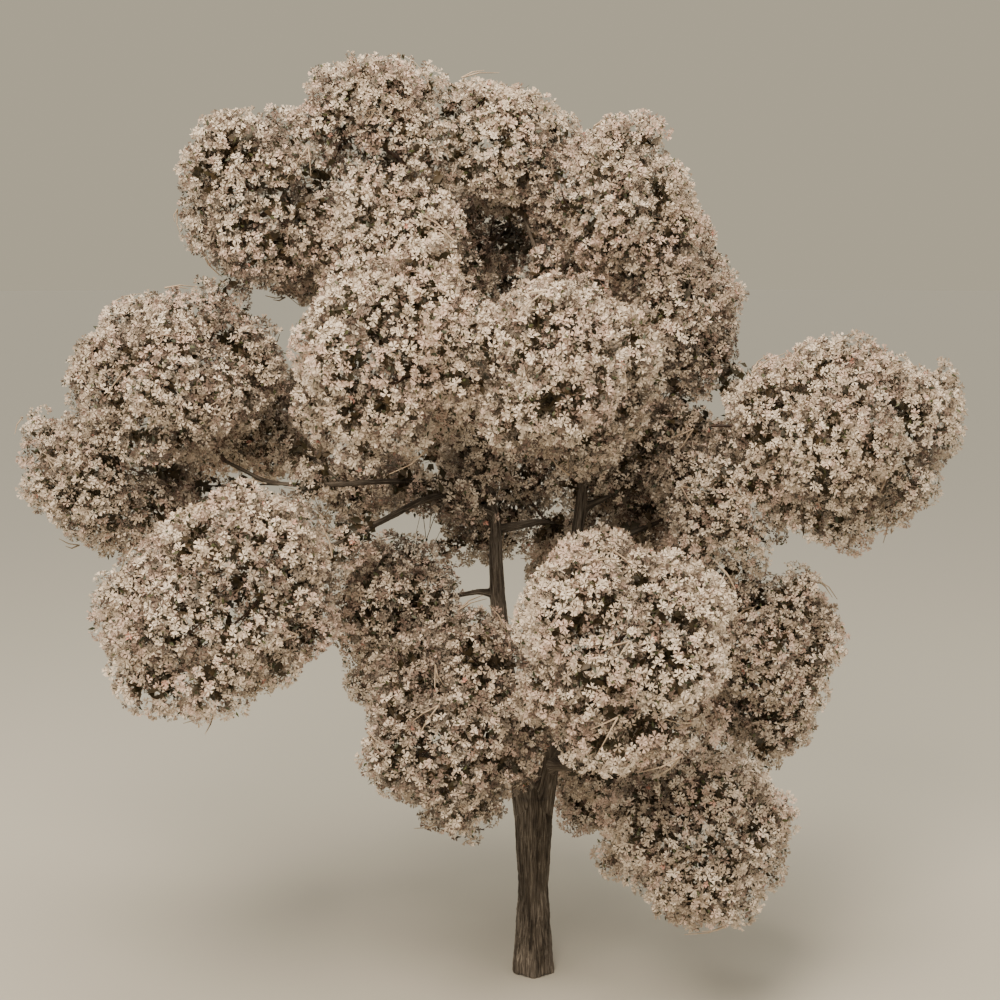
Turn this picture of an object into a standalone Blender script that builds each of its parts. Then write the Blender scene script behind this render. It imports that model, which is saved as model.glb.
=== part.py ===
"""A flowering cherry tree: trunk, two stems, their boughs and the masses of blossom they carry.

Metres, +Z up. The origin is the centre of the flat cut under the trunk, at ground level.
The trunk forks low into a left stem (-X) and a right stem (+X). Each stem rises through the
middle of the crown and sends out boughs, and each bough ends at the flat foot of one mass.
"""

import math
import random

import bmesh
import bpy
from mathutils import Matrix, Vector

# Clearance between two solids that touch.
GAP = 0.0003

# Faces that meet more sharply than this are shaded as a crease.
CREASE_ANGLE = math.radians(50)

# How near a plane a point counts as lying on it.
ON_PLANE = 1e-7

# Trunk: waisted half way up, flared at the ground and widened again below the fork. A flare
# above 1 keeps the trunk slim for longer before it widens.
FORK_HEIGHT = 1.00
FOOT_RADIUS = 0.120
WAIST_RADIUS = 0.083
WAIST_HEIGHT = 0.50
FORK_HALF_WIDTH = 0.116
FORK_HALF_DEPTH = 0.088
FOOT_FLARE = 1.4
FORK_FLARE = 1.1
TRUNK_SIDES = 14
TRUNK_RINGS = 8

# The stems stand side by side on the trunk and meet at this X.
STEM_SPLIT = 0.012
STEM_ROOT = FORK_HEIGHT - 0.04

# Limbs: sides of their tubes, and points read from each span of their path.
STEM_SIDES = 8
BOUGH_SIDES = 6
SPAN_POINTS = 2

# Masses: round lobes about a centre. Their offset and radius are shares of the half sizes.
LOBE_OFFSET = 0.46
LOBE_RADIUS = 0.57
LOBE_SCATTER = 0.32
LOBE_SMALLEST = 0.88
LOBE_LARGEST = 1.06
FINE = {"cuts": 3, "lobes": 11}
COARSE = {"cuts": 2, "lobes": 8}
MASS_BOUND = 1.1
FOOT_SHARE = 0.86

BARK = (0.052, 0.036, 0.023)
BARK_ROUGHNESS = 0.85
BLOSSOM = (0.60, 0.52, 0.47)
BLOSSOM_ROUGHNESS = 0.75

# Each mass: centre, half sizes, how far its top leans to +X (per metre of height), how much
# bigger its upper lobes are, a seed for its lobes, and how fine it is.
MASSES = [
    ("mass_top_left", (-1.43, 0.04, 4.22), (0.48, 0.56, 0.55), 0.00, 0.00, 1, FINE),
    ("mass_top_middle_left", (-0.79, 0.14, 4.60), (0.46, 0.56, 0.42), 0.00, 0.12, 2, COARSE),
    ("mass_top_middle_right", (-0.19, 0.20, 4.52), (0.40, 0.50, 0.42), 0.00, 0.00, 3, COARSE),
    ("mass_top_right", (0.45, 0.10, 4.20), (0.46, 0.60, 0.51), -0.20, 0.00, 4, FINE),
    ("mass_upper_inner", (-0.75, -0.24, 4.07), (0.44, 0.42, 0.36), 0.00, 0.00, 5, COARSE),
    ("mass_right_upper", (0.78, 0.20, 3.58), (0.37, 0.60, 0.54), 0.00, 0.00, 6, COARSE),
    ("mass_front_left", (-0.68, -1.10, 3.52), (0.54, 0.62, 0.58), 0.12, 0.00, 7, COARSE),
    ("mass_front_right", (0.11, -1.20, 3.43), (0.49, 0.60, 0.53), 0.00, 0.00, 8, COARSE),
    ("mass_left_upper", (-1.90, -0.20, 3.29), (0.61, 0.66, 0.47), 0.08, 0.00, 31, FINE),
    ("mass_far_left", (-2.26, 0.10, 2.72), (0.53, 0.58, 0.40), -0.38, 0.05, 10, FINE),
    ("mass_left_low", (-1.53, -1.20, 2.31), (0.64, 0.66, 0.60), 0.28, 0.00, 11, FINE),
    ("mass_inner_left", (-0.71, -0.30, 2.12), (0.41, 0.42, 0.43), 0.00, 0.00, 12, COARSE),
    ("mass_low_left", (-0.39, -0.90, 1.58), (0.47, 0.56, 0.59), 0.00, 0.14, 13, FINE),
    ("mass_low_front", (0.37, -1.46, 2.10), (0.56, 0.62, 0.60), 0.00, 0.00, 14, FINE),
    ("mass_low_right", (0.82, -0.70, 1.08), (0.56, 0.60, 0.51), -0.10, -0.05, 15, FINE),
    ("mass_right_low", (1.26, 0.25, 1.74), (0.50, 0.66, 0.60), 0.00, 0.00, 16, COARSE),
    ("mass_right_middle", (0.96, 0.04, 2.64), (0.50, 0.60, 0.50), 0.00, 0.00, 17, COARSE),
    ("mass_far_right", (1.55, -0.10, 2.93), (0.72, 0.68, 0.61), 0.05, 0.08, 18, FINE),
    ("mass_inner_back_left", (-0.98, 0.75, 2.66), (0.34, 0.40, 0.30), 0.00, 0.00, 19, COARSE),
    ("mass_middle_left", (-0.20, 0.44, 2.70), (0.40, 0.34, 0.52), 0.20, 0.00, 20, COARSE),
    ("mass_middle_right", (0.54, 0.42, 2.72), (0.38, 0.34, 0.38), 0.00, 0.00, 21, COARSE),
    ("mass_back_top_left", (-1.04, 1.05, 3.88), (0.50, 0.58, 0.50), 0.00, 0.00, 22, COARSE),
    ("mass_back_top_middle", (-0.17, 1.05, 4.09), (0.46, 0.54, 0.46), 0.00, 0.00, 23, COARSE),
    ("mass_back_top_right", (0.60, 1.15, 3.72), (0.55, 0.62, 0.55), 0.00, 0.00, 24, COARSE),
    ("mass_back_left", (-1.68, 1.05, 2.98), (0.52, 0.60, 0.40), 0.00, 0.00, 25, COARSE),
    ("mass_back_middle", (-0.30, 1.62, 3.08), (0.62, 0.55, 0.55), 0.00, 0.00, 26, COARSE),
    ("mass_back_right", (0.62, 1.48, 2.72), (0.46, 0.56, 0.50), 0.00, 0.00, 27, COARSE),
    ("mass_back_far_right", (1.60, 1.05, 2.72), (0.48, 0.54, 0.43), 0.00, 0.00, 32, COARSE),
    ("mass_back_low_left", (-0.66, 1.10, 1.52), (0.48, 0.56, 0.50), 0.00, 0.00, 28, COARSE),
    ("mass_back_low_middle", (0.42, 1.58, 2.02), (0.48, 0.56, 0.46), 0.00, 0.00, 29, COARSE),
    ("mass_back_low_right", (0.42, 0.90, 0.99), (0.42, 0.56, 0.51), 0.00, 0.00, 30, COARSE),
]

# Each stem: the points of its path, the radius at its root and tip, and the mass on its tip.
STEMS = {
    "stem_left": {
        "points": [
            (-0.050, 0.00, STEM_ROOT),
            (-0.120, 0.00, 1.45),
            (-0.189, 0.00, 2.02),
            (-0.206, 0.00, 2.32),
            (-0.227, 0.00, 2.65),
            (-0.330, 0.00, 2.95),
            (-0.420, 0.00, 3.40),
            (-0.450, 0.04, 3.85),
        ],
        "radii": [0.068, 0.057, 0.046, 0.038, 0.030, 0.027, 0.024, 0.021, 0.017],
        "mass": "mass_top_middle_left",
    },
    "stem_right": {
        "points": [
            (0.062, 0.00, STEM_ROOT),
            (0.100, 0.00, 1.30),
            (0.170, 0.00, 1.90),
            (0.233, 0.00, 2.46),
            (0.261, 0.00, 2.74),
            (0.300, 0.00, 3.20),
            (0.330, 0.02, 3.60),
        ],
        "radii": [0.059, 0.052, 0.042, 0.034, 0.031, 0.026, 0.022, 0.018],
        "mass": "mass_top_right",
    },
}

# Each bough: its parent, the height at which it leaves, the points that it passes, the mass
# that it carries, and its radius at root and tip.
BOUGHS = {
    "bough_low_left": ("stem_left", 1.28, [(-0.19, -0.22, 1.36)], "mass_low_left", 0.030, 0.022),
    "bough_low_front": ("stem_right", 1.35, [(0.19, -0.45, 1.62)], "mass_low_front", 0.034, 0.024),
    "bough_low_right": ("stem_right", 1.18, [(0.32, -0.24, 1.22)], "mass_low_right", 0.030, 0.022),
    "bough_right_low": ("stem_right", 1.62, [(0.50, 0.08, 1.72)], "mass_right_low", 0.028, 0.020),
    "bough_back_low_right": (
        "stem_right", 1.26, [(0.26, 0.32, 1.20)], "mass_back_low_right", 0.026, 0.020,
    ),
    "bough_back_low_left": (
        "stem_left", 1.45, [(-0.28, 0.40, 1.52)], "mass_back_low_left", 0.026, 0.020,
    ),
    "bough_inner_left": ("stem_left", 2.13, [(-0.30, 0.02, 2.14)], "mass_inner_left", 0.023, 0.016),
    "bough_inner_right": (
        "stem_left", 2.38, [(-0.10, 0.10, 2.49), (0.03, 0.17, 2.50), (0.20, 0.50, 2.40)],
        "mass_back_low_middle", 0.027, 0.016,
    ),
    "bough_left_low": (
        "stem_left", 2.56, [(-0.40, -0.14, 2.68), (-0.554, -0.30, 2.70), (-0.768, -0.52, 2.62)],
        "mass_left_low", 0.025, 0.019,
    ),
    "bough_left": (
        "stem_left", 2.66,
        [(-0.50, -0.04, 2.74), (-0.84, -0.08, 2.755), (-1.20, -0.10, 2.735), (-1.52, -0.11, 2.79)],
        "mass_left_upper", 0.025, 0.011,
    ),
    "bough_far_left": ("bough_left", -1.35, [(-1.62, 0.00, 2.72)], "mass_far_left", 0.011, 0.009),
    "bough_inner_back_left": (
        "bough_left", -0.60, [(-0.74, 0.18, 2.72)], "mass_inner_back_left", 0.015, 0.011,
    ),
    "bough_back_left": ("bough_left", -1.02, [(-1.22, 0.30, 2.84)], "mass_back_left", 0.014, 0.011),
    "bough_right": (
        "stem_right", 2.62, [(0.44, 0.05, 2.68), (0.70, 0.00, 3.06)], "mass_far_right", 0.0215, 0.014,
    ),
    "bough_back_far_right": (
        "bough_right", 0.62, [(0.86, 0.34, 3.06), (1.16, 0.68, 2.90)],
        "mass_back_far_right", 0.012, 0.009,
    ),
    "bough_right_middle": (
        "stem_right", 2.28, [(0.38, 0.00, 2.40)], "mass_right_middle", 0.022, 0.016,
    ),
    "bough_back_right": (
        "stem_right", 2.98, [(0.42, 0.30, 3.13), (0.55, 0.72, 3.08)], "mass_back_right", 0.018, 0.013,
    ),
    "bough_front_left": ("stem_left", 2.98, [(-0.46, -0.34, 3.18)], "mass_front_left", 0.022, 0.016),
    "bough_front_right": (
        "stem_right", 2.92, [(0.22, -0.40, 3.12)], "mass_front_right", 0.022, 0.016,
    ),
    "bough_top_left": ("stem_left", 3.45, [(-0.78, 0.04, 3.72)], "mass_top_left", 0.020, 0.013),
    "bough_top_middle_right": (
        "stem_right", 3.50, [(0.06, 0.08, 3.86)], "mass_top_middle_right", 0.017, 0.013,
    ),
    "bough_right_upper": (
        "stem_right", 3.20, [(0.42, 0.05, 3.32)], "mass_right_upper", 0.018, 0.014,
    ),
    "bough_back_top_left": (
        "stem_left", 3.30, [(-0.60, 0.38, 3.52)], "mass_back_top_left", 0.018, 0.013,
    ),
    "bough_back_top_middle": (
        "stem_left", 3.62, [(-0.38, 0.36, 3.78)], "mass_back_top_middle", 0.016, 0.012,
    ),
    "bough_back_top_right": (
        "stem_right", 3.12, [(0.38, 0.38, 3.36)], "mass_back_top_right", 0.018, 0.013,
    ),
    "bough_back_middle": (
        "stem_left", 3.12, [(-0.38, 0.50, 3.32)], "mass_back_middle", 0.018, 0.013,
    ),
}


# Shared helpers


def material(name, colour, roughness):
    finish = bpy.data.materials.new(name)
    finish.use_nodes = True
    shader = finish.node_tree.nodes["Principled BSDF"]
    shader.inputs["Base Color"].default_value = (*colour, 1.0)
    shader.inputs["Roughness"].default_value = roughness
    shader.inputs["Metallic"].default_value = 0.0
    return finish


def add_object(name, bm, finish):
    bmesh.ops.recalc_face_normals(bm, faces=bm.faces)
    mesh = bpy.data.meshes.new(name)
    bm.to_mesh(mesh)
    bm.free()
    mesh.shade_smooth()
    mesh.set_sharp_from_angle(angle=CREASE_ANGLE)
    mesh.materials.append(finish)
    obj = bpy.data.objects.new(name, mesh)
    bpy.context.scene.collection.objects.link(obj)
    return obj


def bark(name):
    return material(name + "_bark", BARK, BARK_ROUGHNESS)


def cut_away(bm, point, normal):
    """Removes what lies beyond the plane, on the side its normal points to, and closes the cut."""
    parts = bm.verts[:] + bm.edges[:] + bm.faces[:]
    cut = bmesh.ops.bisect_plane(
        bm, geom=parts, dist=ON_PLANE, plane_co=point, plane_no=normal, clear_outer=True
    )
    edges = [part for part in cut["geom_cut"] if isinstance(part, bmesh.types.BMEdge)]
    if edges:
        bmesh.ops.triangle_fill(bm, use_beauty=True, edges=edges, normal=normal)


# Limbs


def smooth_path(points):
    """Reads a Catmull-Rom curve through the points, SPAN_POINTS to a span."""
    ends = [2 * points[0] - points[1]] + points + [2 * points[-1] - points[-2]]
    path = []
    for index in range(len(points) - 1):
        before, start, end, after = ends[index : index + 4]
        for step in range(SPAN_POINTS):
            t = step / SPAN_POINTS
            path.append(
                0.5
                * (
                    2 * start
                    + (end - before) * t
                    + (2 * before - 5 * start + 4 * end - after) * t**2
                    + (3 * start - before - 3 * end + after) * t**3
                )
            )
    return path + [points[-1]]


def tube(path, radii, sides, tip_heading=None):
    """A tapering tube along the path with a flat end at each tip."""
    headings = [(after - before).normalized() for before, after in zip(path, path[1:])]
    squares = [headings[0]]
    for before, after in zip(headings, headings[1:]):
        squares.append((before + after).normalized())
    squares.append(tip_heading or headings[-1])

    bm = bmesh.new()
    turn = Vector((0, 0, 1)).rotation_difference(squares[0]).to_matrix().to_4x4()
    bmesh.ops.create_circle(
        bm,
        cap_ends=True,
        segments=sides,
        radius=radii[0],
        matrix=Matrix.Translation(path[0]) @ turn,
    )
    cap = bm.faces[:]
    for index in range(1, len(path)):
        grown = bmesh.ops.extrude_face_region(bm, geom=cap)["geom"]
        if index > 1:
            bmesh.ops.delete(bm, geom=cap, context="FACES_ONLY")
        cap = [part for part in grown if isinstance(part, bmesh.types.BMFace)]
        turn = squares[index - 1].rotation_difference(squares[index]).to_matrix()
        scale = radii[index] / radii[index - 1]
        for vert in cap[0].verts:
            vert.co = path[index] + scale * (turn @ (vert.co - path[index - 1]))
    return bm


class Limb:
    """A stem or bough: a smooth path, the radius at each of its points, and its parent."""

    def __init__(self, name, points, radii, sides, carries, parent=None):
        self.name = name
        self.path = smooth_path(points)
        self.tip_heading = (points[-1] - points[-2]).normalized()
        self.sides = sides
        self.carries = carries
        self.parent = parent
        self.cutter = None
        self.radii = []
        for index in range(len(self.path)):
            spot = index / SPAN_POINTS
            low = min(int(spot), len(radii) - 2)
            self.radii.append(radii[low] + (radii[low + 1] - radii[low]) * (spot - low))

    def crossing(self, axis, level):
        """Where the limb passes a level of X (axis 0) or of height (axis 2)."""
        for low, high in zip(self.path, self.path[1:]):
            if min(low[axis], high[axis]) <= level <= max(low[axis], high[axis]):
                return low.lerp(high, (level - low[axis]) / (high[axis] - low[axis]))
        return self.path[-1]

    def places_near(self, point):
        """For each stretch of the path: its distance to the point, its nearest place, its radius."""
        found = []
        for index, (low, high) in enumerate(zip(self.path, self.path[1:])):
            along = high - low
            t = max(0.0, min(1.0, (point - low).dot(along) / along.length_squared))
            place = low + t * along
            found.append(((point - place).length, place, self.radii[index]))
        return sorted(found, key=lambda item: item[0])

    def body(self, extra=0.0):
        radii = [radius + extra for radius in self.radii]
        return tube(self.path, radii, self.sides, self.tip_heading)

    def clearance(self):
        """A hidden copy of the limb, wider by the gap, which cuts the boughs that leave it."""
        if self.cutter is None:
            self.cutter = add_object(self.name + "_clearance", self.body(GAP), bark(self.name))
            self.cutter.hide_render = True
            self.cutter.display_type = "WIRE"
        return self.cutter


def trunk_radius(height):
    if height < WAIST_HEIGHT:
        drop = 1 - height / WAIST_HEIGHT
        return WAIST_RADIUS + (FOOT_RADIUS - WAIST_RADIUS) * drop**FOOT_FLARE
    rise = (height - WAIST_HEIGHT) / (FORK_HEIGHT - WAIST_HEIGHT)
    return WAIST_RADIUS + (FORK_HALF_WIDTH - WAIST_RADIUS) * rise**FORK_FLARE


def build_trunk():
    """The trunk from its flat cut at the ground to its flat, oval top under the fork."""
    heights = [FORK_HEIGHT * ring / TRUNK_RINGS for ring in range(TRUNK_RINGS + 1)]
    path = [Vector((0, 0, height)) for height in heights]
    bm = tube(path, [trunk_radius(height) for height in heights], TRUNK_SIDES)
    for vert in bm.verts:
        rise = max(0.0, (vert.co.z - WAIST_HEIGHT) / (FORK_HEIGHT - WAIST_HEIGHT))
        vert.co.y *= 1 + (FORK_HALF_DEPTH / FORK_HALF_WIDTH - 1) * rise
    add_object("trunk", bm, bark("trunk"))


def build_stem(limb):
    """A stem, cut level where it stands on the trunk and upright where it meets the other."""
    side = math.copysign(1, limb.path[0].x)
    bm = limb.body()
    cut_away(bm, (0, 0, FORK_HEIGHT + GAP), (0, 0, -1))
    cut_away(bm, (STEM_SPLIT + side * GAP / 2, 0, 0), (-side, 0, 0))
    add_object(limb.name, bm, bark(limb.name))


def build_bough(limb):
    """A bough, cut off where it meets its parent."""
    obj = add_object(limb.name, limb.body(), bark(limb.name))
    cut = obj.modifiers.new("clear_of_parent", "BOOLEAN")
    cut.operation = "DIFFERENCE"
    cut.solver = "EXACT"
    cut.object = limb.parent.clearance()


# Masses


class Mass:
    """A mass of blossom: round lobes about its centre, squeezed and leaned by its shape matrix."""

    def __init__(self, name, centre, half, lean, top, seed, grade):
        self.name = name
        self.centre = Vector(centre)
        self.shape = Matrix.Diagonal(half)
        self.shape[0][2] = lean * half[2]
        self.bound = MASS_BOUND * (1 + abs(top)) * max(half)
        self.cuts = grade["cuts"]
        self.planes = []
        self.lobes = []
        dice = random.Random(seed)
        for index in range(grade["lobes"]):
            height = 1 - (2 * index + 1) / grade["lobes"]
            turn = seed + index * math.pi * (3 - math.sqrt(5))
            level = math.sqrt(1 - height * height)
            heading = Vector((level * math.cos(turn), level * math.sin(turn), height))
            for axis in range(3):
                heading[axis] += dice.uniform(-LOBE_SCATTER, LOBE_SCATTER)
            heading.normalize()
            size = dice.uniform(LOBE_SMALLEST, LOBE_LARGEST) * (1 + top * heading.z)
            self.lobes.append((LOBE_OFFSET * size * heading, LOBE_RADIUS * size))

    def swell(self, unit):
        """How far the lobes reach along a unit direction, as a share of the half sizes."""
        reach = 0.0
        for offset, radius in self.lobes:
            along = offset.dot(unit)
            inside = along * along - offset.length_squared + radius * radius
            if inside > 0:
                reach = max(reach, along + math.sqrt(inside))
        return reach

    def reach(self, heading):
        """How far the mass reaches from its centre along a heading, in metres."""
        unit = self.shape.inverted() @ heading
        return self.swell(unit.normalized()) / unit.length

    def keep_inside(self, point, normal):
        self.planes.append((Vector(point), Vector(normal)))

    def keeps_off(self, place, radius):
        """Whether a plane already holds the mass clear of a ball at the place."""
        return any((place - point).dot(normal) >= radius for point, normal in self.planes)

    def foot_for(self, place):
        """Cuts the mass a flat foot that faces a place, and gives the foot's middle."""
        heading = (self.centre - place).normalized()
        foot = self.centre - FOOT_SHARE * self.reach(-heading) * heading
        self.keep_inside(foot, -heading)
        return foot - GAP * heading

    def build(self):
        bm = bmesh.new()
        bmesh.ops.create_icosphere(bm, subdivisions=1, radius=1.0)
        bmesh.ops.subdivide_edges(bm, edges=bm.edges[:], cuts=self.cuts, use_grid_fill=True)
        for vert in bm.verts:
            unit = vert.co.normalized()
            vert.co = self.centre + self.swell(unit) * (self.shape @ unit)
        for point, normal in self.planes:
            cut_away(bm, point, normal)
        add_object(self.name, bm, material(self.name, BLOSSOM, BLOSSOM_ROUGHNESS))


def part_masses(masses):
    """Cuts each pair of near masses apart by a plane square to the line of their centres."""
    for index, first in enumerate(masses):
        for second in masses[index + 1 :]:
            line = second.centre - first.centre
            if line.length > first.bound + second.bound:
                continue
            normal = line.normalized()
            near = first.reach(normal)
            far = second.reach(-normal)
            middle = first.centre + near / (near + far) * line
            first.keep_inside(middle - GAP / 2 * normal, normal)
            second.keep_inside(middle + GAP / 2 * normal, -normal)


def clear_limbs(masses, limbs):
    """Cuts each mass back to planes beside every limb that passes it without carrying it."""
    for mass in masses:
        for limb in limbs:
            if limb.carries == mass.name:
                continue
            for distance, place, radius in limb.places_near(mass.centre):
                if distance - radius > mass.bound or mass.keeps_off(place, radius):
                    continue
                normal = (place - mass.centre).normalized()
                mass.keep_inside(place - (radius + GAP) * normal, normal)


for old in list(bpy.data.objects):
    bpy.data.objects.remove(old, do_unlink=True)

masses = {row[0]: Mass(*row) for row in MASSES}
limbs = {}
for name, stem in STEMS.items():
    points = [Vector(point) for point in stem["points"]]
    points.append(masses[stem["mass"]].foot_for(points[-1]))
    limbs[name] = Limb(name, points, stem["radii"], STEM_SIDES, stem["mass"])
for name, (parent, level, via, mass, thick, thin) in BOUGHS.items():
    axis = 2 if parent in STEMS else 0
    points = [limbs[parent].crossing(axis, level)] + [Vector(point) for point in via]
    points.append(masses[mass].foot_for(points[-1]))
    steps = len(points) - 1
    radii = [thick + (thin - thick) * index / steps for index in range(steps + 1)]
    limbs[name] = Limb(name, points, radii, BOUGH_SIDES, mass, limbs[parent])

part_masses(list(masses.values()))
clear_limbs(list(masses.values()), list(limbs.values()))

build_trunk()
for name, limb in limbs.items():
    if name in STEMS:
        build_stem(limb)
    else:
        build_bough(limb)
for mass in masses.values():
    mass.build()
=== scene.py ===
"""The looks of a cherry tree in full blossom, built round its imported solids.

Metres, +Z up, seen from -Y. The bark comes first, then the plan of the crown, the branches and
twigs that grow to it, the blossom, the leaves, and last the floor, the lights and the camera.
"""

import math
import random

import bmesh
import bpy
import numpy as np
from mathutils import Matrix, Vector, noise
from mathutils.bvhtree import BVHTree
from mathutils.kdtree import KDTree


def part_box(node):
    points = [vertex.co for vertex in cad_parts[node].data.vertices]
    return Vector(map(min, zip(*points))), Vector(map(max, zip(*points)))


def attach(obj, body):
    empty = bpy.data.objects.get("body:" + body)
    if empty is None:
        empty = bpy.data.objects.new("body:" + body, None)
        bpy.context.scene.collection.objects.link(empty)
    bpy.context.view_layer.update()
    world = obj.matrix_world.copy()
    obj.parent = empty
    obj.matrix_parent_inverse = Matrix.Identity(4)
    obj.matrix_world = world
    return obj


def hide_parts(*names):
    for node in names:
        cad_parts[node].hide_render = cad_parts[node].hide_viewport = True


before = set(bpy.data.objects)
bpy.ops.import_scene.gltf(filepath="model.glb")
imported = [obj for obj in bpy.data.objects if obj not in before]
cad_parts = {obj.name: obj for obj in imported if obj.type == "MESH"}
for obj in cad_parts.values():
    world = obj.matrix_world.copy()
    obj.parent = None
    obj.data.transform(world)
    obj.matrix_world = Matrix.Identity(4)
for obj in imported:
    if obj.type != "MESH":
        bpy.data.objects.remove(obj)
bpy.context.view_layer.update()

# ---------------------------------------------------------------------------------------------
# The lines of the limbs
# A limb is a trunk, stem or bough. Each follows one smooth line, read back from even slices of
# its CAD solid, so that the bark, and the branches that grow on, lie where the solid does.

SLICES = 12
LINE_STEP = 0.012
ROUND_OF_FACETS = 1.07
FORK_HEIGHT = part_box("trunk")[1].z


def solid_triangles(name):
    """A CAD solid's triangles, as an array of their corners."""
    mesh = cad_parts[name].data
    mesh.calc_loop_triangles()
    points = np.empty(len(mesh.vertices) * 3)
    mesh.vertices.foreach_get("co", points)
    corners = np.empty(len(mesh.loop_triangles) * 3, dtype=int)
    mesh.loop_triangles.foreach_get("vertices", corners)
    return points.reshape(-1, 3)[corners.reshape(-1, 3)]


def cut_of(triangles, level, axis):
    """The pieces of outline where a plane cuts a solid: their middles and their lengths."""
    height = triangles @ axis - level
    starts = np.roll(triangles, 1, axis=1)
    start_height = np.roll(height, 1, axis=1)
    crosses = (height < 0) != (start_height < 0)
    cut = crosses.sum(axis=1) == 2
    share = np.where(crosses, start_height / np.where(crosses, start_height - height, 1), 0)
    points = starts + share[..., None] * (triangles - starts)
    order = np.argsort(crosses[cut], axis=1)
    first = np.take_along_axis(points[cut], order[:, 1][:, None, None], axis=1)[:, 0]
    second = np.take_along_axis(points[cut], order[:, 2][:, None, None], axis=1)[:, 0]
    return (first + second) / 2, np.linalg.norm(first - second, axis=1)


def unit(vectors):
    """The same directions, each with length one."""
    return vectors / np.linalg.norm(vectors, axis=-1, keepdims=True)


def smooth_line(points, step):
    """A Catmull-Rom line through rows of numbers whose first three are a place."""
    ends = np.vstack([2 * points[0] - points[1], points, 2 * points[-1] - points[-2]])
    line = []
    for index in range(len(points) - 1):
        before, start, end, after = ends[index : index + 4]
        count = max(1, round(float(np.linalg.norm(end[:3] - start[:3])) / step))
        for t in np.arange(count) / count:
            place = 2 * start + (end - before) * t
            place = place + (2 * before - 5 * start + 4 * end - after) * t**2
            place = place + (3 * start - before - 3 * end + after) * t**3
            line.append(0.5 * place)
    return np.array(line + [points[-1]])


def limb_line(name):
    """Rows of place and radius along a limb, from the end nearer the fork to its tip."""
    triangles = solid_triangles(name)
    middle = triangles.mean(axis=(0, 1))
    axis = np.linalg.svd(triangles.mean(axis=1) - middle, full_matrices=False)[2][0]
    root_side = np.array([0, 0, FORK_HEIGHT]) - middle
    axis = axis * -math.copysign(1, root_side @ axis)
    reach = (triangles @ axis).ravel()
    low, high = reach.min(), reach.max()
    levels = np.linspace(low, high, SLICES + 2)[1:-1]
    cuts = [cut_of(triangles, level, axis) for level in levels]
    centres = np.array([(at * length[:, None]).sum(0) / length.sum() for at, length in cuts])
    heading = unit(np.gradient(centres, axis=0))
    radii = []
    for (at, length), centre, along in zip(cuts, centres, heading):
        out = at - centre
        out = out - (out @ along)[:, None] * along
        radii.append(ROUND_OF_FACETS * (np.linalg.norm(out, axis=1) * length).sum() / length.sum())
    tip = centres[-1] + (high - levels[-1]) / (heading[-1] @ axis) * heading[-1]
    root = centres[0] - (levels[0] - low) / (heading[0] @ axis) * heading[0]
    rows = np.column_stack([np.vstack([root, centres, tip]), [radii[0], *radii, radii[-1]]])
    return smooth_line(rows, LINE_STEP)


LIMBS = sorted(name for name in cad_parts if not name.startswith("mass_"))
lines = {name: limb_line(name) for name in LIMBS}

# ---------------------------------------------------------------------------------------------
# Trunk, stems and boughs
# One skin of grey-brown bark over the trunk, both stems and every bough, with a swollen collar
# where each bough leaves. The skin is swept along the limbs, fused, and then ridged.

BARK_VOXEL = 0.0098
FINE_HEIGHT = 1.12
BARK_SMOOTHING = 4
MERGE_WITHIN = 1e-5
COLLAR_LENGTH = 0.07
COLLAR_SWELL = 0.45
ROOT_SINK = 0.8
STEM_SINK = 0.12
STEM_SPREAD_AT_ROOT = 0.75
CROTCH = [(0.0, 0.0, 0.80, 0.095), (0.004, 0.0, 0.98, 0.078), (0.01, 0.0, 1.16, 0.034)]
RIDGE_WIDTH = 0.015
RIDGE_STRETCH = 14.0
RIDGE_SWAY = 0.9
RIDGE_SWAY_SCALE = 0.35
RIDGE_SEED = 7
RIDGE_SHARE = 0.07
RIDGE_LEAST = 0.0005
RIDGE_MOST = 0.0062
STEEP_HEADING = 0.6
# The ridges' noise: its dimension, lacunarity, octaves, offset and gain.
RIDGE_NOISE = (0.9, 2.1, 3, 1, 2)
BULGE_SIZE = 0.13
BULGE_RISE = 0.05
TRUNK_LEAST_RADIUS = 0.05
FOOT_RIBS = 5
FOOT_RIB_RISE = 0.007
FOOT_RIB_HEIGHT = 0.30
FOOT_RIB_TURN = 1.3
FOOT_RIB_LEVEL = 0.6
FIBRE_WIDTH_MM = 12
FIBRE_STRETCH = 0.06
PATCH_SIZE_MM = 90
PATCH_STRETCH = 0.3


def colour(code):
    """A linear colour from its sRGB hex code."""
    shares = [int(code[start : start + 2], 16) / 255 for start in (1, 3, 5)]
    return [s / 12.92 if s <= 0.04045 else ((s + 0.055) / 1.055) ** 2.4 for s in shares] + [1.0]


def add_node(tree, kind, settings=None, **sockets):
    """Adds a node. A socket is given a value, or another node's output, as (node, name)."""
    node = tree.nodes.new(kind)
    for name, value in (settings or {}).items():
        setattr(node, name, value)
    for name, value in sockets.items():
        socket = node.inputs[name.replace("_", " ")]
        if isinstance(value, tuple) and isinstance(value[0], bpy.types.Node):
            tree.links.new(value[0].outputs[value[1]], socket)
        else:
            socket.default_value = value
    return node


def new_finish(name, **sockets):
    """A material with a Principled shader, its plain values set on the shader's own sockets."""
    finish = bpy.data.materials.new(name)
    finish.use_nodes = True
    shader = finish.node_tree.nodes["Principled BSDF"]
    for socket, value in sockets.items():
        shader.inputs[socket.replace("_", " ")].default_value = value
    return finish, finish.node_tree, shader


def set_ramp(ramp, stops):
    """Gives a colour ramp its stops, each a place and a hex colour."""
    stairs = ramp.color_ramp.elements
    while len(stairs) < len(stops):
        stairs.new(0.5)
    for stair, (place, code) in zip(stairs, stops):
        stair.position = place
        stair.color = colour(code)


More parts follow.
